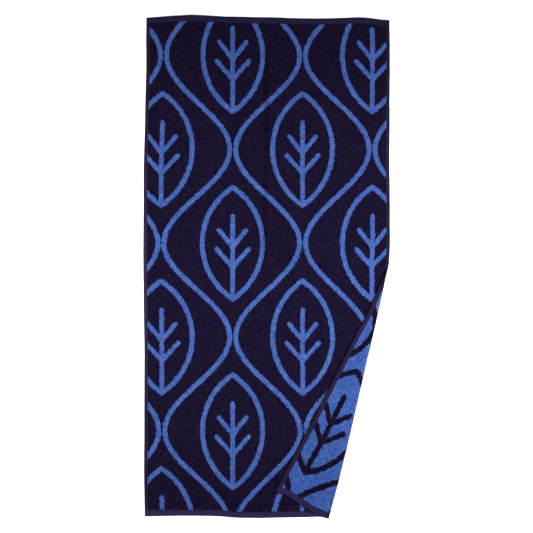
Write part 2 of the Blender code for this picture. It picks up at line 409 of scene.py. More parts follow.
def laid(u, v, out):
    """Where points of the cut cloth lie, each moved out metres from the cloth's middle towards its front."""
    x, y = lying_flat(u, v)
    along = (x - FOLD_START[0]) * ALONG_FOLD[0] + (y - FOLD_START[1]) * ALONG_FOLD[1]
    run = (x - FOLD_START[0]) * ACROSS_FOLD[0] + (y - FOLD_START[1]) * ACROSS_FOLD[1]
    turn = np.clip(run / ROLL_RADIUS, 0, math.pi + OVERTURN)
    slope = turn - np.clip((run - ROLL_LENGTH) / SETTLE_RADIUS, 0, OVERTURN)
    across = np.minimum(run, 0) + ROLL_RADIUS * np.sin(turn) + SETTLE_RADIUS * (np.sin(turn) - np.sin(slope))
    across -= np.maximum(0, run - ROLL_LENGTH - SETTLE_LENGTH)
    across += bowed(FOLD_BOWS, along) * rounded(across, BOW_FADE)
    height = ROLL_RADIUS * (1 - np.cos(turn)) + SETTLE_RADIUS * (np.cos(slope) - np.cos(turn))
    height *= 1 - START_PRESS * rounded(along, START_PRESS_REACH)
    x = FOLD_START[0] + along * ALONG_FOLD[0] + across * ACROSS_FOLD[0]
    y = FOLD_START[1] + along * ALONG_FOLD[1] + across * ACROSS_FOLD[1]
    z = lift(x, y) + puckers(u, v) + PILE_THICKNESS / 2 + height
    x = x - np.sin(slope) * out * ACROSS_FOLD[0]
    y = y - np.sin(slope) * out * ACROSS_FOLD[1]
    return np.stack((x, y, z + np.cos(slope) * out), axis=-1)


def cloth_shift():
    """From the cloth as it is worked out to where its solid lies."""
    across = np.linspace(-HALF_WIDTH, HALF_WIDTH, MEASURED_COLUMNS)
    along = np.linspace(-HALF_LENGTH, HALF_LENGTH, MEASURED_ROWS)
    u, v = np.meshgrid(across, along)
    spots = np.concatenate([laid(u, v, out).reshape(-1, 3) for out in (-PILE_THICKNESS / 2, 0)])
    low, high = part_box("towel")
    middle = (np.array(low) + np.array(high)) / 2 - (spots.min(axis=0) + spots.max(axis=0)) / 2
    return np.array((middle[0], middle[1], 0))


SHIFT = cloth_shift()


def placed(u, v, out):
    return laid(u, v, out) + SHIFT


def creased(u, v, reach):
    """How far the storage crease is felt: 1 along its line, 0 from reach on and past its ends."""
    from_crease = u - CREASE_MIDDLE - bowed(CREASE_BOWS, v)
    past_end = np.maximum(0, np.maximum(v - CREASE_TOP, CREASE_BOTTOM - v))
    return rounded(from_crease, reach) * rounded(past_end, CREASE_FADE)


def pressed(u, v):
    """How deep the crease lies in the front."""
    return CREASE_DEPTH * creased(u, v, CREASE_HALF_WIDTH)


# Node trees


class Socket:
    """A node's output. Arithmetic on it adds Math nodes to its tree."""

    def __init__(self, tree, output):
        self.tree = tree
        self.output = output

    def math(self, operation, *others):
        return self.tree.math(operation, self, *others)

    def __add__(self, other):
        return self.math("ADD", other)

    def __radd__(self, other):
        return self.tree.math("ADD", other, self)

    def __sub__(self, other):
        return self.math("SUBTRACT", other)

    def __rsub__(self, other):
        return self.tree.math("SUBTRACT", other, self)

    def __mul__(self, other):
        return self.math("MULTIPLY", other)

    def __rmul__(self, other):
        return self.tree.math("MULTIPLY", other, self)

    def __truediv__(self, other):
        return self.math("DIVIDE", other)

    def __rtruediv__(self, other):
        return self.tree.math("DIVIDE", other, self)

    def __abs__(self):
        return self.math("ABSOLUTE")

    def wrapped(self, low, high):
        return self.math("WRAP", high, low)

    def parts(self):
        """The three numbers of a vector."""
        split = self.tree.node("ShaderNodeSeparateXYZ", inputs={0: self}).output.node
        return [Socket(self.tree, output) for output in split.outputs]


class Tree:
    """A node tree, of a material or of geometry, that grows by one method."""

    def __init__(self, tree):
        self.tree = tree

    def node(self, kind, settings=(), inputs=(), output=0):
        made = self.tree.nodes.new(kind)
        for name, value in dict(settings).items():
            setattr(made, name, value)
        for name, value in dict(inputs).items():
            self.join(value, made.inputs[name])
        return Socket(self, made.outputs[output]) if made.outputs else None

    def join(self, value, socket):
        if isinstance(value, Socket):
            self.tree.links.new(value.output, socket)
        elif socket.type == "RGBA":
            socket.default_value = (*value, 1)
        else:
            socket.default_value = value

    def vector(self, x, y, z):
        return self.node("ShaderNodeCombineXYZ", inputs={0: x, 1: y, 2: z})

    def finish(self, geometry, material):
        """Hands the geometry on, all of one material."""
        inputs = {"Geometry": geometry, "Material": material}
        finished = self.node("GeometryNodeSetMaterial", inputs=inputs)
        self.node("NodeGroupOutput", inputs={"Geometry": finished})

    def math(self, operation, *values):
        return self.node("ShaderNodeMath", {"operation": operation}, dict(enumerate(values)))

    def mixed(self, share, colour, other):
        """colour, with other in its place by share."""
        return self.node("ShaderNodeMix", {"data_type": "RGBA"}, {0: share, 6: colour, 7: other}, output=2)

    def shaded(self, colour, by):
        """colour, lighter or darker by a factor."""
        return self.node("ShaderNodeVectorMath", {"operation": "SCALE"}, {0: colour, "Scale": by})

    def smooth_step(self, value, low, high):
        """0 below low, 1 above high, or the other way round."""
        settings = {"interpolation_type": "SMOOTHSTEP"}
        return self.node("ShaderNodeMapRange", settings, {"Value": value, "From Min": low, "From Max": high})

    def noise(self, place, rate, detail, roughness=0.5):
        inputs = {"Vector": place, "Scale": rate, "Detail": detail, "Roughness": roughness}
        return self.node("ShaderNodeTexNoise", inputs=inputs)

    def rounded(self, distance, reach):
        """1 at no distance, falling smoothly to 0 at reach."""
        near = (abs(distance) / reach).math("MINIMUM", 1.0)
        return (near * math.pi).math("COSINE") * 0.5 + 0.5


# The woven design and the materials


def between(share, low, high):
    """From low, where share is 0, to high, where it is 1."""
    return share * (high - low) + low


def nearest_line(u, v):
    """How far a place on the cut cloth is from the middle of the nearest wavy line."""
    wave = v * (math.tau / WAVE_LENGTH)
    swing = wave.math("COSINE") * WAVE_SWING
    slope = wave.math("SINE") * (WAVE_SWING * math.tau / WAVE_LENGTH)
    even = abs((u - swing).wrapped(-LINE_SPACING, LINE_SPACING))
    odd = abs((u + swing - LINE_SPACING).wrapped(-LINE_SPACING, LINE_SPACING))
    return even.math("MINIMUM", odd) / (slope * slope + 1).math("SQRT")


def nearest_stroke(x, y, stroke):
    """How far a place is from a straight stroke's middle line."""
    reach_x = stroke.end_x - stroke.x
    reach_y = stroke.end_y - stroke.y
    x = x - stroke.x
    y = y - stroke.y
    share = (x * reach_x + y * reach_y) / (reach_x**2 + reach_y**2)
    share = share.math("MAXIMUM", 0).math("MINIMUM", 1)
    x = x - share * reach_x
    y = y - share * reach_y
    return (x * x + y * y).math("SQRT")


def nearest_leaf(u, v):
    """How far a place is outside the lines of the nearest leaf, less than nothing on them."""
    far = LEAF_HALF_LENGTH**2 / LEAF_HALF_WIDTH
    arc_radius = (LEAF_HALF_WIDTH + far) / 2
    arc_inset = (far - LEAF_HALF_WIDTH) / 2
    found = None
    for place in LEAF_PLACES:
        x = abs((u - place.half_spacings * LINE_SPACING / 2).wrapped(-LINE_SPACING, LINE_SPACING))
        y = (v - place.half_waves * WAVE_LENGTH / 2).wrapped(-WAVE_LENGTH / 2, WAVE_LENGTH / 2)
        from_arc_middle = x + arc_inset
        from_arc = abs((from_arc_middle * from_arc_middle + y * y).math("SQRT") - arc_radius)
        leaf = from_arc - LEAF_LINE_HALF_WIDTH
        for vein in VEINS:
            leaf = leaf.math("MINIMUM", nearest_stroke(x, y, vein) - vein.half_width)
        found = leaf if found is None else found.math("MINIMUM", leaf)
    return found


def woven_figure(tree, u, v, stray, reverse):
    """1 on the lines of the design, 0 on its ground. stray, from 0 to 1, is how far a loop leans over."""
    v = v - DESIGN_RISE
    wander = tree.noise(tree.vector(u, v, 0), WANDER_RATE, detail=1)
    slack = (stray - 0.5) * LINE_SLACK + (wander - 0.5) * LINE_WANDER - reverse * REVERSE_WIDER
    lines = (nearest_line(u, v) + slack).math("LESS_THAN", LINE_HALF_WIDTH)
    leaves = (nearest_leaf(u, v) + slack).math("LESS_THAN", 0)
    return lines.math("MAXIMUM", leaves)


def cloth_material(name):
    """A new material of dull cotton, its tree and its shader node."""
    material = bpy.data.materials.new(name)
    material.use_nodes = True
    shader = material.node_tree.nodes["Principled BSDF"]
    shader.inputs["Roughness"].default_value = COTTON_ROUGHNESS
    shader.inputs["Specular IOR Level"].default_value = COTTON_SPECULAR
    return material, Tree(material.node_tree), shader


def raise_relief(tree, shader, height, relief):
    """Lets the light show a height that has no shape of its own."""
    inputs = {"Strength": relief.strength, "Distance": relief.depth, "Height": height}
    tree.join(tree.node("ShaderNodeBump", inputs=inputs), shader.inputs["Normal"])


def nap(tree, place):
    """How the lie of the loops lightens and darkens the cloth, in soft patches over smaller ones."""
    broad = tree.noise(place, BROAD_NAP_RATE, detail=1)
    small = tree.noise(place, SMALL_NAP_RATE, detail=2)
    return 1 + (broad - 0.5) * BROAD_NAP + (small - 0.5) * SMALL_NAP


def crease_painted_shade(tree, u, v):
    """Painted shade along the crease: a factor that darkens loops and ground along its line, where the
    pressed loops lie in shade.
    """
    bow = sum(tree.rounded(v - bow.centre, bow.reach) * bow.push for bow in CREASE_BOWS)
    past_end = (v - CREASE_TOP).math("MAXIMUM", CREASE_BOTTOM - v).math("MAXIMUM", 0.0)
    felt = tree.rounded(u - CREASE_MIDDLE - bow, PARTING_REACH) * tree.rounded(past_end, CREASE_FADE)
    return 1 - felt * CREASE_PAINTED_SHADE


def fold_painted_light(tree, u, v):
    """1 where light is painted along the fold, whose roll faces the lamps and opens up its loops, less
    towards its lower end and 0 in the flap's middle.
    """
    run = u * ACROSS_FOLD[0] + v * ACROSS_FOLD[1] - FOLD_START @ ACROSS_FOLD
    beside_fold = tree.smooth_step(run, 0.0, FOLD_LIT_FROM) * tree.smooth_step(run, FOLD_LIT_REACH, FOLD_LIT_TO)
    return beside_fold * between(tree.smooth_step(v, FOLD_LIT_LEAST_V, FOLD_LIT_MOST_V), FOLD_LIT_LEAST, 1)


def wear_and_fold_light(tree, place, reverse, fold_light, chance):
    """How worn loops are, on the front where reverse is 0 and on the reverse where it is 1, and how much
    paler the painted light along the fold makes them.
    """
    clumps = tree.noise(place, CLUMP_RATE, detail=3, roughness=1.0)
    worn_and_lit = between(reverse, FRONT_WEAR, REVERSE_WEAR) + fold_light * FOLD_PAINTED_PALENESS
    return worn_and_lit + (clumps - 0.5) * CLUMP_WEAR + (chance - 0.5) * LOOP_WEAR


def yarn_colour(tree, mask, worn_and_lit):
    """Blue where mask is 1 and navy elsewhere, both paler where they are worn and where light is painted
    along the fold.
    """
    navy = tree.mixed(worn_and_lit, NAVY, NAVY_WORN)
    return tree.mixed(mask, navy, tree.mixed(worn_and_lit, BLUE, BLUE_WORN))


def loop_material(name, is_reverse):
    """Loops of one face of the cloth. Each loop is one colour, set by where it is rooted.

    root holds its place on the cut cloth and the share of its height that the crease leaves it.
    """
    material, tree, shader = cloth_material(name)
    root = tree.node("ShaderNodeAttribute", {"attribute_name": "root"}, output="Vector")
    tip = tree.node("ShaderNodeAttribute", {"attribute_name": "tip"}, output="Fac")
    place = tree.node("ShaderNodeTexCoord", output="Object")
    u, v, height = root.parts()
    chance = tree.node("ShaderNodeTexWhiteNoise", {"noise_dimensions": "2D"}, {"Vector": root})
    mask = abs(woven_figure(tree, u, v, chance, is_reverse) - is_reverse)
    own_shade = tree.node("ShaderNodeTexWhiteNoise", {"noise_dimensions": "3D"}, {"Vector": root})
    # Painted shade: darker at each loop's root, and darker where the crease presses a loop lower
    shade = between(own_shade, *LOOP_SHADES) * between(tip, *TIP_PAINTED_SHADES) * between(height, *PRESSED_PAINTED_SHADES)
    shade = shade * nap(tree, place) * (REVERSE_SHADE if is_reverse else crease_painted_shade(tree, u, v))
    # Painted light along the fold, lighter and paler where its roll faces the lamps
    fold_light = fold_painted_light(tree, u, v) * is_reverse
    shade = shade * (1 + fold_light * FOLD_PAINTED_LIGHT)
    worn_and_lit = wear_and_fold_light(tree, place, is_reverse, fold_light, chance)
    colour = tree.shaded(yarn_colour(tree, mask, worn_and_lit), shade)
    tree.join(colour, shader.inputs["Base Color"])
    raise_relief(tree, shader, tree.noise(place, YARN_RATE, detail=2), YARN_RELIEF)
    return material


def hem_colour(tree, u, v, from_end, reverse):
    """The colour of the side hems and of the end hems, darker on the reverse, with painted light and shade:
    lighter near the middle of the sides and at the bottom, and painted shade where the fold starts.
    """
    along = u * ALONG_FOLD[0] + v * ALONG_FOLD[1] - FOLD_START @ ALONG_FOLD
    turned = tree.smooth_step(along, -TURNED_REACH, -TURNED_FULLY) * u.math("GREATER_THAN", 0)
    tucked = tree.smooth_step(along, TUCKED_REACH, TUCKED_REACH - TUCKED_FADE)
    # Painted light and shade up the side hems, and painted shade where the fold turns them
    side_hem_painted_light = between(tree.rounded(v - PALEST_V, PALEST_REACH), SIDE_HEM_DARKEST, SIDE_HEM_PALEST)
    front_hem_light_and_shade = side_hem_painted_light * between(turned, 1, TURNED_SHADE)
    side = tree.shaded(SIDE_HEM_NAVY, between(reverse, front_hem_light_and_shade, 1))
    is_top = tree.smooth_step(v, -ENDS_APART, ENDS_APART)
    end = tree.shaded(END_HEM_NAVY, between(is_top, BOTTOM_HEM_SHADE, TOP_HEM_SHADE))
    is_end = tree.smooth_step(from_end, END_HEM, END_HEM - CORNER_FADE)
    reverse_shade = between(tucked, 1, TUCKED_SHADE) * REVERSE_HEM_SHADE
    return tree.shaded(tree.mixed(is_end, side, end), between(reverse, 1, reverse_shade))


def ground_material():
    """The woven ground under the loops, with the flat hems. Painted shade between drawn crowns shows loops
    where it has none.
    """
    material, tree, shader = cloth_material("woven_ground")
    cut = tree.node("ShaderNodeUVMap", {"uv_map": "cut"})
    reverse = tree.node("ShaderNodeAttribute", {"attribute_name": "reverse"}, output="Fac")
    place = tree.node("ShaderNodeTexCoord", output="Object")
    u, v, _ = cut.parts()
    column = (u / LOOP_PITCH_U).math("FLOOR")
    offset = column.math("FLOORED_MODULO", 2) * 0.5
    row = (v / LOOP_PITCH_V - offset).math("FLOOR")
    middle_u = (column + 0.5) * LOOP_PITCH_U
    middle_v = (row + offset + 0.5) * LOOP_PITCH_V
    cell = tree.vector(column, row, reverse)
    chance = tree.node("ShaderNodeTexWhiteNoise", {"noise_dimensions": "3D"}, {"Vector": cell})
    mask = abs(reverse - woven_figure(tree, middle_u, middle_v, chance, reverse))
    in_u = (u - middle_u) * (2 / LOOP_PITCH_U)
    in_v = (v - middle_v) * (2 / LOOP_PITCH_V)
    crown = (1 - in_u * in_u) * (1 - in_v * in_v * CROWN_FALL)
    # Painted light along the fold, as on the loops
    fold_light = fold_painted_light(tree, u, v) * reverse
    shade = between(chance, *DRAWN_LOOP_SHADES) * between(crown, *DRAWN_CROWN_PAINTED_SHADES) * nap(tree, place)
    # Painted shade along the crease, as on the loops
    shade = shade * (1 + fold_light * FOLD_PAINTED_LIGHT) * crease_painted_shade(tree, u, v)
    worn_and_lit = wear_and_fold_light(tree, place, reverse, fold_light, chance)
    pile = tree.shaded(yarn_colour(tree, mask, worn_and_lit), shade)

    from_side = HALF_WIDTH - abs(u)
    from_end = HALF_LENGTH - abs(v)
    side_hem = between(reverse, SIDE_HEM_FRONT, SIDE_HEM_REVERSE)
    into_pile = (from_side - side_hem).math("MINIMUM", from_end - END_BARE)
    is_hem = tree.smooth_step(into_pile, HEM_FADE, 0.0)
    # Painted shade on the rounded rim, darkest at the edge
    from_edge = from_side.math("MINIMUM", from_end)
    rim = tree.smooth_step(from_edge, 0.0, RIM_SHADE_REACH)
    warp = tree.vector(u * ACROSS_WEAVE_RATE, v * ALONG_WEAVE_RATE, reverse)
    weft = tree.vector(u * ALONG_WEAVE_RATE, v * ACROSS_WEAVE_RATE, reverse + OTHER_YARNS)
    weave = tree.noise(warp, 1, detail=1).math("MAXIMUM", tree.noise(weft, 1, detail=1))
    hem_shade = between(weave, *WEAVE_SHADES) * between(rim, *RIM_PAINTED_SHADES) * nap(tree, place)
    hem = tree.shaded(hem_colour(tree, u, v, from_end, reverse), hem_shade)
    tree.join(tree.mixed(is_hem, pile, hem), shader.inputs["Base Color"])

    raise_relief(tree, shader, crown * (1 - is_hem) + weave * is_hem * WEAVE_RELIEF, GROUND_RELIEF)
    return material


def thread_material():
    """Spun polyester sewing thread, a little brighter than the hems."""
    material, tree, shader = cloth_material("sewing_thread")
    place = tree.node("ShaderNodeTexCoord", output="Object")
    twist = tree.noise(place, TWIST_RATE, detail=1)
    tree.join(tree.shaded(THREAD_NAVY, between(twist, *THREAD_SHADES)), shader.inputs["Base Color"])
    raise_relief(tree, shader, twist, THREAD_RELIEF)
    shader.inputs["Roughness"].default_value = THREAD_ROUGHNESS
    return material


def floor_material():
    material = bpy.data.materials.new("pale_floor")
    material.use_nodes = True
    tree = Tree(material.node_tree)
    shader = material.node_tree.nodes["Principled BSDF"]
    grain = tree.noise(tree.node("ShaderNodeTexCoord", output="Object"), FLOOR_RATE, detail=2)
    tree.join(tree.shaded(FLOOR_WHITE, between(grain, *FLOOR_SHADES)), shader.inputs["Base Color"])
    shader.inputs["Roughness"].default_value = FLOOR_ROUGHNESS
    shader.inputs["Emission Color"].default_value = (1, 1, 1, 1)
    shader.inputs["Emission Strength"].default_value = FLOOR_GLOW
    return material


# The woven ground with its hems


def spaced(low, high, step):
    """Evenly spaced places between low and high, no more than step apart, without the two ends."""
    count = math.ceil((high - low) / step)
    return [low + (high - low) * i / count for i in range(1, count)]


def hem_lines(half, stitch_line, widths):
    """Where the hem's section bends, from the edge inwards, on both sides of the middle."""
    from_edge = [RIM_RADIUS * share for share in RIM_SHARES]
    from_edge += [stitch_line + GROOVE_REACH * i / 2 for i in (-2, -1, 0, 1, 2)]
    from_edge += [width + step for width in widths for step in (0.0, HEM_STEP)]
    return [side * (half - distance) for distance in from_edge for side in (-1, 1)]


def bend_lines():
    """Each line, as a point and a normal, along which the flat sheet is cut up into faces."""
    crease = [CREASE_MIDDLE + CREASE_HALF_WIDTH * i / 2 for i in CREASE_CUTS]
    hem_u = hem_lines(HALF_WIDTH, SIDE_STITCH_LINE, (SIDE_HEM_FRONT, SIDE_HEM_REVERSE))
    hem_v = hem_lines(HALF_LENGTH, END_STITCH_LINE, (END_HEM,))
    inner_u = min(map(abs, hem_u))
    inner_v = min(map(abs, hem_v))
    across = spaced(-inner_u, inner_u, CELL) + crease + hem_u
    along = spaced(-inner_v, inner_v, CELL) + hem_v
    runs = [ROLL_LENGTH * i / ROLL_STEPS for i in range(ROLL_STEPS + 1)]
    runs += [ROLL_LENGTH + SETTLE_LENGTH * i / SETTLE_STEPS for i in range(1, SETTLE_STEPS + 1)]
    lines = [(Vector((u, 0, 0)), Vector((1, 0, 0))) for u in across]
    lines += [(Vector((0, v, 0)), Vector((0, 1, 0))) for v in along]
    for run in runs:
        lines.append((Vector((*(FOLD_START + run * ACROSS_FOLD), 0)), Vector((*ACROSS_FOLD, 0))))
    return lines


def cut_cloth():
    """The flat sheet as one layer of faces, cut along every bend line."""
    sheet = bmesh.new()
    corners = [(-1, -1), (1, -1), (1, 1), (-1, 1)]
    sheet.faces.new([sheet.verts.new((HALF_WIDTH * i, HALF_LENGTH * j, 0)) for i, j in corners])
    for point, normal in bend_lines():
        everything = sheet.verts[:] + sheet.edges[:] + sheet.faces[:]
        bmesh.ops.bisect_plane(sheet, geom=everything, plane_co=point, plane_no=normal, dist=SNAP / 2)
    bmesh.ops.triangulate(sheet, faces=[face for face in sheet.faces if len(face.verts) > 4])
    sheet.verts.index_update()
    return sheet


def ground_half(u, v, side_hem, pile_half):
    """From the cloth's middle to a face of its woven ground, or of its hem with the groove of the sewing."""
    from_side = HALF_WIDTH - np.abs(u)
    from_end = HALF_LENGTH - np.abs(v)
    edge = 1 - np.clip(np.minimum(from_side, from_end) / RIM_RADIUS, 0, 1)
    side_groove = rounded(from_side - SIDE_STITCH_LINE, GROOVE_REACH)
    end_groove = rounded(from_end - END_STITCH_LINE, GROOVE_REACH)
    hem = (HEM_THICKNESS / 2 - GROOVE_DEPTH * np.maximum(side_groove, end_groove)) * np.sqrt(1 - edge**2)
    into_pile = np.clip(np.minimum(from_side - side_hem, from_end - END_HEM) / HEM_STEP, 0, 1)
    return hem + (pile_half - hem) * into_pile


def woven_ground(material):
    """The whole cloth without its loops: one closed sheet, its two faces meeting at the rim."""
    sheet = cut_cloth()
    u, v = np.array([vert.co[:2] for vert in sheet.verts]).T
    looped = np.clip((run_past_fold(u, v) - LOOPED_REVERSE) / LOOPED_FADE, 0, 1)
    reverse_half = PILE_THICKNESS / 2 + (GROUND_THICKNESS - PILE_THICKNESS) / 2 * looped
    front = placed(u, v, ground_half(u, v, SIDE_HEM_FRONT, GROUND_THICKNESS / 2) - pressed(u, v) / 2)
    reverse = placed(u, v, -ground_half(u, v, SIDE_HEM_REVERSE, reverse_half))
    solid = bmesh.new()
    cut = solid.loops.layers.uv.new("cut")
    bake = solid.loops.layers.uv.new("OFBake")
    is_reverse = solid.faces.layers.float.new("reverse")
    fronts = [solid.verts.new(place) for place in front]
    reverses = list(fronts)
    for vert in sheet.verts:
        if not vert.is_boundary:
            reverses[vert.index] = solid.verts.new(reverse[vert.index])
    for face in sheet.faces:
        corners = list(face.verts)
        for verts, order, side in ((fronts, corners, 0), (reverses, corners[::-1], 1)):
            made = solid.faces.new([verts[vert.index] for vert in order])
            made[is_reverse] = side
            made.smooth = True
            for loop, vert in zip(made.loops, order):
                loop[cut].uv = vert.co[:2]
                across = (vert.co.x / TOWEL_WIDTH + 0.5) * (0.5 - 2 * BAKE_MARGIN) + BAKE_MARGIN
                along = (vert.co.y / TOWEL_LENGTH + 0.5) * (1 - 2 * BAKE_MARGIN) + BAKE_MARGIN
                loop[bake].uv = (across + 0.5 * side, along)
    sheet.free()
    mesh = bpy.data.meshes.new("towel_cloth")
    solid.to_mesh(mesh)
    solid.free()
    mesh.materials.append(material)
    return linked("towel_cloth", mesh)


def linked(name, mesh):
    piece = bpy.data.objects.new(name, mesh)
    bpy.context.scene.collection.objects.link(piece)
    return piece


# What repeats on it


def node_group(name, sizes):
    """A geometry tree with a Geometry input and one input for each of sizes, a name and its kind."""
    group = bpy.data.node_groups.new(name, "GeometryNodeTree")
    group.interface.new_socket("Geometry", in_out="INPUT", socket_type="NodeSocketGeometry")
    group.interface.new_socket("Geometry", in_out="OUTPUT", socket_type="NodeSocketGeometry")
    for size, kind in sizes.items():
        group.interface.new_socket(size, in_out="INPUT", socket_type="NodeSocket" + kind)
    tree = Tree(group)
    start = group.nodes.new("NodeGroupInput")
    given = {output.name: Socket(tree, output) for output in start.outputs if output.name}
    return group, tree, given


def grown(name, group, start, sizes):
    """The plain mesh that a geometry tree makes of a start mesh, as a piece. The start mesh goes."""
    seed = linked(name + "_start", start)
    modifier = seed.modifiers.new("grow", "NODES")
    modifier.node_group = group
    for item in group.interface.items_tree:
        if item.name in sizes:
            modifier[item.identifier] = sizes[item.name]
    seed.update_tag()
    evaluated = seed.evaluated_get(bpy.context.evaluated_depsgraph_get())
    mesh = bpy.data.meshes.new_from_object(evaluated)
    mesh.name = name
    bpy.data.objects.remove(seed)
    bpy.data.meshes.remove(start)
    return linked(name, mesh)


def loop_shape():
    """One loop of the pile: a ridge on a wide root, open below where it goes into the ground."""
    root = [(LOOP_WIDTH / 2 * i, LOOP_LENGTH / 2 * j, 0) for i, j in ((-1, -1), (1, -1), (1, 1), (-1, 1))]
    ridge = [(0, -LOOP_RIDGE / 2, LOOP_HEIGHT), (0, LOOP_RIDGE / 2, LOOP_HEIGHT)]
    mesh = bpy.data.meshes.new("loop_shape")
    mesh.from_pydata(root + ridge, [], [(0, 1, 4), (1, 2, 5, 4), (2, 3, 5), (3, 0, 4, 5)])
    mesh.shade_smooth()
    flat = mesh.uv_layers.new(name="loop_place")
    for corner, loop in zip(flat.data, mesh.loops):
        x, y, _ = mesh.vertices[loop.vertex_index].co
        corner.uv = (0.5 + LOOP_MAP_SHARE * x / LOOP_WIDTH, 0.5 + LOOP_MAP_SHARE * y / LOOP_LENGTH)
    tip = mesh.attributes.new("tip", "FLOAT", "POINT")
    tip.data.foreach_set("value", [0, 0, 0, 0, 1, 1])
    shape = linked("loop_shape", mesh)
    shape.hide_render = True
    return shape


def loop_group():
    """Stands a loop on every point, turned, leant and sized a little by chance."""
    sizes = {"Loop": "Object", "Material": "Material", "Map Side": "Float", "Turn": "Float", "Lean": "Float"}
    group, tree, given = node_group("pile_loops", sizes)

    def attribute(name):
        return tree.node("GeometryNodeInputNamedAttribute", {"data_type": "FLOAT_VECTOR"}, {"Name": name})

    def chance(seed, low, high):
        settings = {"data_type": "FLOAT"}
        return tree.node("FunctionNodeRandomValue", settings, {2: low, 3: high, "Seed": seed}, output=1)

    loop = tree.node("GeometryNodeObjectInfo", inputs={"Object": given["Loop"]}, output="Geometry")
    upright = tree.node("FunctionNodeAlignRotationToVector", {"axis": "Z"}, {"Vector": attribute("outwards")})
    settings = {"axis": "Y", "pivot_axis": "Z"}
    facing = tree.node(
        "FunctionNodeAlignRotationToVector", settings, {"Rotation": upright, "Vector": attribute("up_cloth")}
    )
    lean_x = chance(1, -1, 1) * given["Lean"]
    lean_y = chance(2, -1, 1) * given["Lean"]
    turn = chance(3, -1, 1) * given["Turn"]
    spin = tree.node("FunctionNodeEulerToRotation", inputs={0: tree.vector(lean_x, lean_y, turn)})
    turned = tree.node("FunctionNodeRotateRotation", {"rotation_space": "LOCAL"}, {0: facing, 1: spin})
    height = attribute("root").parts()[2] * chance(6, *LOOP_HEIGHTS)
    grown_size = tree.vector(chance(4, *LOOP_SIZES), chance(5, *LOOP_SIZES), height)
    inputs = {"Points": given["Geometry"], "Instance": loop, "Rotation": turned, "Scale": grown_size}
    standing = tree.node("GeometryNodeInstanceOnPoints", inputs=inputs)
    real = tree.node("GeometryNodeRealizeInstances", inputs={"Geometry": standing})
    places = {0: attribute("map_cell"), 1: attribute("loop_place")}
    place = tree.node("ShaderNodeVectorMath", {"operation": "ADD"}, places)
    side = tree.vector(given["Map Side"], given["Map Side"], 1.0)
    place = tree.node("ShaderNodeVectorMath", {"operation": "DIVIDE"}, {0: place, 1: side})
    settings = {"data_type": "FLOAT2", "domain": "CORNER"}
    mapped = tree.node(
        "GeometryNodeStoreNamedAttribute", settings, {"Geometry": real, "Name": "OFBake", "Value": place}
    )
    tree.finish(mapped, given["Material"])
    return group


def loop_roots(side_hem, rng):
    """Where every loop of one face is rooted on the cut cloth, column by column."""
    width = TOWEL_WIDTH - 2 * side_hem
    length = TOWEL_LENGTH - 2 * END_BARE
    columns = round(width / LOOP_PITCH_U)
    rows = round(length / LOOP_PITCH_V)
    column, row = np.meshgrid(np.arange(columns), np.arange(rows), indexing="ij")
    stray = rng.uniform(-LOOP_STRAY, LOOP_STRAY, (2, columns, rows))
    u = ((column + 0.5 + stray[0]) / columns - 0.5) * width
    v = ((row + 0.25 + 0.5 * (column % 2) + stray[1]) / rows - 0.5) * length
    return u, v


def root_mesh(u, v, side):
    """The loops' roots as bare points that know which way is out and which way is up the cloth."""
    base = placed(u, v, side * (LOOP_ROOT - (pressed(u, v) if side > 0 else 0)))
    outwards = placed(u, v, side * NEARBY) - placed(u, v, -side * NEARBY)
    up_cloth = placed(u, v + NEARBY, 0) - placed(u, v - NEARBY, 0)
    share_of_height = 1 - PARTING_PRESS * creased(u, v, PARTING_REACH)
    map_side = math.ceil(math.sqrt(len(u)))
    order = np.arange(len(u))
    facts = {
        "outwards": outwards,
        "up_cloth": up_cloth,
        "root": np.stack((u, v, share_of_height), axis=-1),
        "map_cell": np.stack((order % map_side, order // map_side, 0 * order), axis=-1),
    }
    mesh = bpy.data.meshes.new("roots")
    mesh.from_pydata(base, [], [])
    for name, values in facts.items():
        attribute = mesh.attributes.new(name, "FLOAT_VECTOR", "POINT")
        attribute.data.foreach_set("vector", values.astype(np.float32).ravel())
    return mesh, map_side


def looped(name, u, v, side, group, shape, material):
    mesh, map_side = root_mesh(u.ravel(), v.ravel(), side)
    sizes = {"Map Side": float(map_side), "Turn": LOOP_TURN, "Lean": LOOP_LEAN}
    return grown(name, group, mesh, {"Loop": shape, "Material": material, **sizes})


def pile_loops():
    """The front's loops in strips from left to right, and the reverse's where they don't lie on the floor."""
    shape = loop_shape()
    group = loop_group()
    front_terry = loop_material("front_terry", 0)
    reverse_terry = loop_material("reverse_terry", 1)
    rng = np.random.default_rng(STRAY_SEED)
    u, v = loop_roots(SIDE_HEM_FRONT, rng)
    pieces = []
    strips = zip(np.array_split(u, FRONT_STRIPS), np.array_split(v, FRONT_STRIPS))
    for number, (strip_u, strip_v) in enumerate(strips, 1):
        pieces.append(looped(f"front_loops_{number}", strip_u, strip_v, 1, group, shape, front_terry))
    u, v = loop_roots(SIDE_HEM_REVERSE, rng)
    shows = run_past_fold(u, v) > LOOPED_REVERSE
    pieces.append(looped("flap_loops", u[shows], v[shows], -1, group, shape, reverse_terry))
    bpy.data.objects.remove(shape)
    return pieces


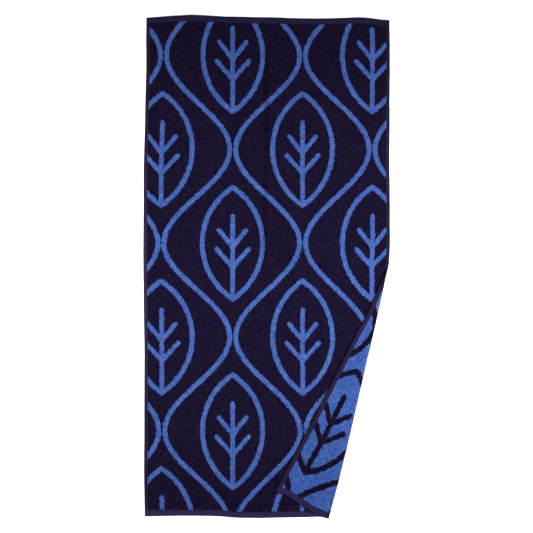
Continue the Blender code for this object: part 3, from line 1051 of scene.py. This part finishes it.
def stitch_group():
    """Lays a stitch on each step of a seam's path."""
    sizes = {"Pitch": "Float", "Length": "Float", "Width": "Float", "Material": "Material"}
    group, tree, given = node_group("seam_stitches", sizes)
    path = tree.node("GeometryNodeMeshToCurve", inputs={"Mesh": given["Geometry"]})
    inputs = {"Curve": path, "Length": given["Pitch"]}
    steps = tree.node("GeometryNodeResampleCurve", {"mode": "LENGTH"}, inputs)
    inputs = {"Segments": BEAD_SEGMENTS, "Rings": BEAD_RINGS, "Radius": 0.5}  # 1 across, to be scaled
    bead = tree.node("GeometryNodeMeshUVSphere", inputs=inputs)
    size = tree.vector(given["Width"], given["Width"], given["Length"])
    stitch = tree.node("GeometryNodeTransform", inputs={"Geometry": bead, "Scale": size})
    tangent = tree.node("GeometryNodeInputTangent")
    along = tree.node("FunctionNodeAlignRotationToVector", {"axis": "Z"}, {"Vector": tangent})
    inputs = {"Points": steps, "Instance": stitch, "Rotation": along}
    sewn = tree.node("GeometryNodeInstanceOnPoints", inputs=inputs)
    real = tree.node("GeometryNodeRealizeInstances", inputs={"Geometry": sewn})
    smooth = tree.node("GeometryNodeSetShadeSmooth", inputs={"Geometry": real})
    tree.finish(smooth, given["Material"])
    return group


def seam_paths():
    """The four hems' lines of sewing on both faces, as one mesh of edges."""
    half_u = HALF_WIDTH - SIDE_STITCH_LINE
    half_v = HALF_LENGTH - END_STITCH_LINE
    ends_u = HALF_WIDTH - STITCH_PITCH
    ends_v = HALF_LENGTH - END_STITCH_LINE - STITCH_PITCH
    points, edges = [], []
    for side in (-1, 1):
        out = side * (HEM_THICKNESS / 2 - GROOVE_DEPTH + STITCH_WIDTH * STITCH_STANDS)
        along_u = np.linspace(-ends_u, ends_u, round(2 * ends_u / SEAM_STEP))
        along_v = np.linspace(-ends_v, ends_v, round(2 * ends_v / SEAM_STEP))
        rows = [(along_u, half_v * end) for end in (-1, 1)]
        columns = [(half_u * end, along_v) for end in (-1, 1)]
        for u, v in rows + columns:
            u, v = np.broadcast_arrays(u, v)
            first = len(points)
            points.extend(placed(u, v, out))
            edges.extend((i, i + 1) for i in range(first, len(points) - 1))
    mesh = bpy.data.meshes.new("seam_paths")
    mesh.from_pydata(points, edges, [])
    return mesh


def hem_stitches():
    sizes = {"Pitch": STITCH_PITCH, "Length": STITCH_LENGTH, "Width": STITCH_WIDTH}
    sizes["Material"] = thread_material()
    return grown("hem_stitches", stitch_group(), seam_paths(), sizes)


# The room


def make_floor():
    mesh = bpy.data.meshes.new("floor")
    disc = bmesh.new()
    bmesh.ops.create_circle(disc, cap_ends=True, segments=FLOOR_SIDES, radius=FLOOR_RADIUS)
    disc.to_mesh(mesh)
    disc.free()
    mesh.materials.append(floor_material())
    floor = linked("floor", mesh)
    return floor


def hang(lamp):
    """Puts up a soft lamp as long as most of the towel, turned to the towel's middle."""
    light = bpy.data.lights.new(lamp.name, "AREA")
    light.shape = "RECTANGLE"
    light.size = LAMP_LENGTH
    light.size_y = lamp.width
    light.energy = lamp.watts
    light.spread = BEAM_ANGLE
    hung = bpy.data.objects.new(lamp.name, light)
    hung.location = (lamp.x, LAMP_Y, LAMP_HEIGHT)
    hung.rotation_euler = Vector((-lamp.x, 0, -LAMP_HEIGHT)).to_track_quat("-Z", "Y").to_euler()
    bpy.context.scene.collection.objects.link(hung)


def light_room():
    world = bpy.data.worlds.new("studio")
    world.use_nodes = True
    background = world.node_tree.nodes["Background"]
    background.inputs["Color"].default_value = (1, 1, 1, 1)
    background.inputs["Strength"].default_value = WORLD_GLOW
    bpy.context.scene.world = world
    for lamp in LAMPS:
        hang(lamp)
    bpy.context.scene.view_settings.view_transform = "Standard"
    bpy.context.scene.view_settings.look = "None"


def place_camera():
    """Straight above, with the towel where it is in the photograph's square frame."""
    camera = bpy.data.cameras.new("camera")
    camera.lens = LENS_MM
    camera.sensor_width = SENSOR_MM
    pixel = MM_PER_PIXEL / 1000
    frame_side = FRAME_PIXELS * pixel
    x = (FRAME_PIXELS / 2 - OUTLINE_MIDDLE_PX[0]) * pixel
    y = (OUTLINE_MIDDLE_PX[1] - FRAME_PIXELS / 2) * pixel
    stand = bpy.data.objects.new("camera", camera)
    stand.location = (x, y, frame_side * LENS_MM / SENSOR_MM + PILE_THICKNESS)
    bpy.context.scene.collection.objects.link(stand)
    bpy.context.scene.camera = stand


def dress():
    """Makes the towel's pieces and ties them to its one body."""
    cloth = woven_ground(ground_material())
    pieces = pile_loops()
    pieces.append(hem_stitches())
    for piece in [cloth, *pieces]:
        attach(piece, "root")
    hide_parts("towel")
    floor = make_floor()


dress()
light_room()
place_camera()
